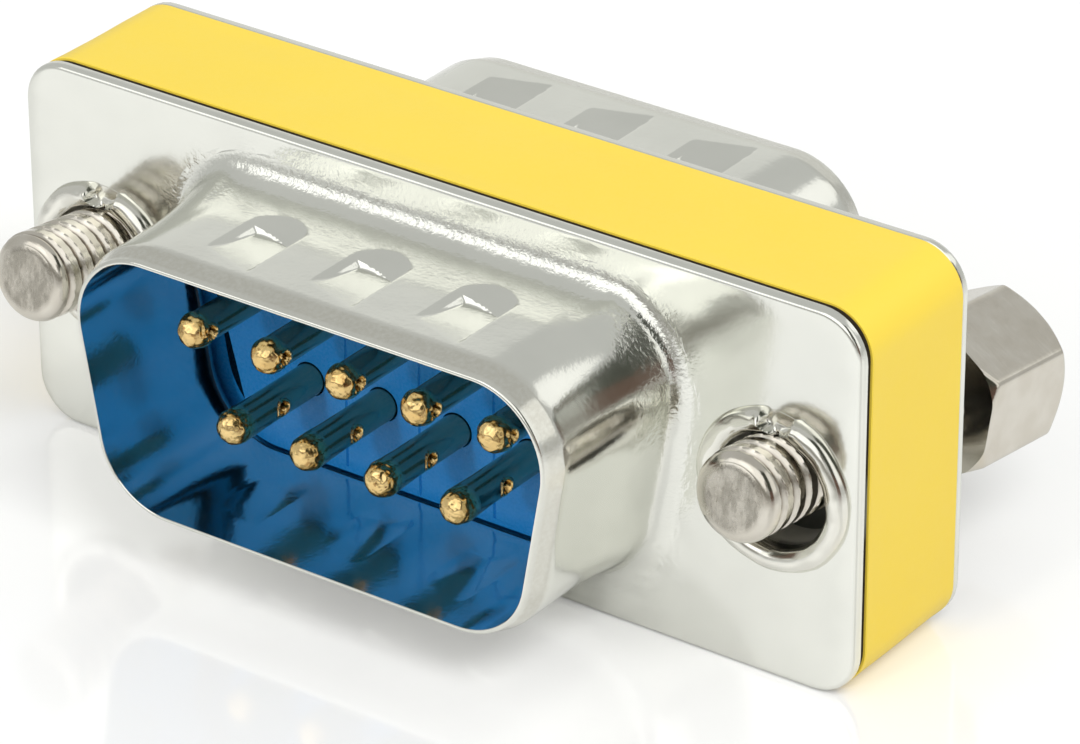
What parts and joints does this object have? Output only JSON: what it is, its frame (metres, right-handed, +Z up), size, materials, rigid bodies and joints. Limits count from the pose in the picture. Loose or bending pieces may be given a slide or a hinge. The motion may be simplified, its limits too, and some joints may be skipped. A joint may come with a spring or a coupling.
{
  "type": "d-sub gender changer",
  "caption": "Slim metal-shelled D connector adapter with a male pin shroud on each face and captive jackscrews.",
  "frame": {"origin": "middle of the long lower edge of the body, on the plane it rests on, half way between the two flange faces", "axes": "+X along the long side of the connector, +Y from the front plug to the rear plug, +Z up; the front plug points to -Y"},
  "size_m": [0.0308, 0.0185, 0.0126],
  "materials": {
    "nickel": "bright nickel plate, slightly hazy",
    "screw_steel": "nickel plated turned steel",
    "black_plastic": "moulded, matt",
    "label": "satin film label, no print",
    "blue_plastic": "moulded, semi-gloss",
    "gold": "gold flash over nickel"
  },
  "bodies": {
    "connector": {"front_shell": "nickel", "rear_shell": "nickel", "spacer_frame": "black_plastic", "label_band": "label", "front_insulator": "blue_plastic", "rear_insulator": "blue_plastic", "contact_1": "gold", "contact_2": "gold", "contact_3": "gold", "contact_4": "gold", "contact_5": "gold", "contact_6": "gold", "contact_7": "gold", "contact_8": "gold", "contact_9": "gold", "front_left_eyelet": "nickel", "front_right_eyelet": "nickel", "rear_left_eyelet": "nickel", "rear_right_eyelet": "nickel"},
    "left_ring": {"left_retaining_ring": "screw_steel"},
    "left_screw": {"left_jackscrew": "screw_steel"},
    "right_ring": {"right_retaining_ring": "screw_steel"},
    "right_screw": {"right_jackscrew": "screw_steel"}
  },
  "joints": [
    {"name": "left_screw_float", "type": "slide", "parent": "connector", "child": "left_ring", "axis": [0, 0.9914, -0.1306], "range_m": [0, 0.0019]},
    {"name": "left_screw_turn", "type": "hinge", "parent": "left_ring", "child": "left_screw", "pos_m": [-0.01249, 0, 0.00628], "axis": [0, 0.9914, -0.1306], "continuous": true},
    {"name": "right_screw_float", "type": "slide", "parent": "connector", "child": "right_ring", "axis": [0, 0.9914, -0.1306], "range_m": [-0.0015, 0.0004]},
    {"name": "right_screw_turn", "type": "hinge", "parent": "right_ring", "child": "right_screw", "pos_m": [0.01249, 0, 0.00628], "axis": [0, 0.9914, -0.1306], "continuous": true}
  ]
}
